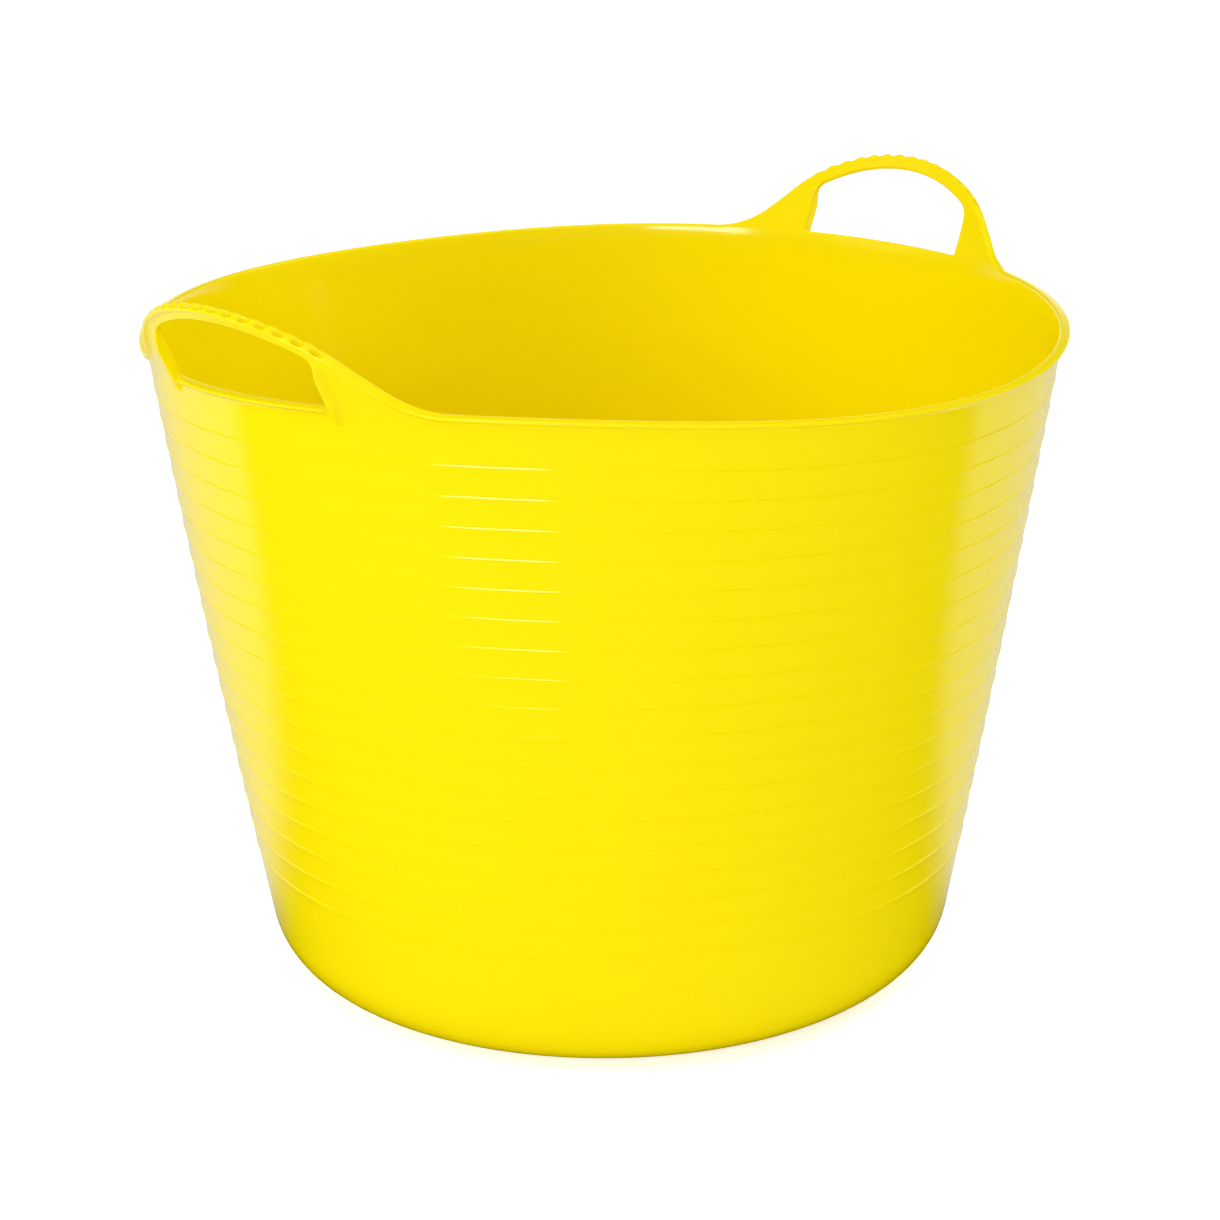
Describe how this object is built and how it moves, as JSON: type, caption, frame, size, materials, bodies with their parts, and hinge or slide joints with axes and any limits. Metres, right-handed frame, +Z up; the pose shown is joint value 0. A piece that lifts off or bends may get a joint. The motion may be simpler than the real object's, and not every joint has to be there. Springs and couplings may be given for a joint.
{
  "type": "mortar mixing tub",
  "caption": "Flexible round mixing tub with a tapering ringed wall, rolled lip and arched carrying handles that flex on their legs.",
  "frame": {"origin": "middle of the base, on the surface the tub stands on", "axes": "+Z up out of the mouth; the carrying handles stand at +X and -X, so X runs across them"},
  "size_m": [0.491, 0.45, 0.3671],
  "materials": {
    "moulded_body": "soft gloss, injection-moulded low-density polyethylene",
    "moulded_edges": "soft gloss, slightly handled edges",
    "moulded_handles": "soft gloss with faint flow marks at the legs"
  },
  "bodies": {
    "tub": {"floor_disc": "moulded_body", "standing_ring": "moulded_body", "heel": "moulded_body", "wall": "moulded_body", "wall_rings": "moulded_body", "rim_lip_front": "moulded_edges", "rim_lip_back": "moulded_edges", "left_sill": "moulded_edges", "left_foot_front": "moulded_handles", "left_foot_back": "moulded_handles", "right_sill": "moulded_edges", "right_foot_front": "moulded_handles", "right_foot_back": "moulded_handles"},
    "left_handle": {"left_bow": "moulded_handles", "left_grip": "moulded_edges", "left_grip_ridges": "moulded_edges", "left_leg_beads": "moulded_handles"},
    "right_handle": {"right_bow": "moulded_handles", "right_grip": "moulded_edges", "right_grip_ridges": "moulded_edges", "right_leg_beads": "moulded_handles"}
  },
  "joints": [
    {"name": "left_handle_flex", "type": "hinge", "parent": "tub", "child": "left_handle", "pos_m": [-0.2142, 0, 0.334], "axis": [0, 1, 0], "range_deg": [-20, 50], "stiffness_Nm_per_rad": 1.2},
    {"name": "right_handle_flex", "type": "hinge", "parent": "tub", "child": "right_handle", "pos_m": [0.2142, 0, 0.334], "axis": [0, -1, 0], "range_deg": [-20, 50], "stiffness_Nm_per_rad": 1.2}
  ]
}
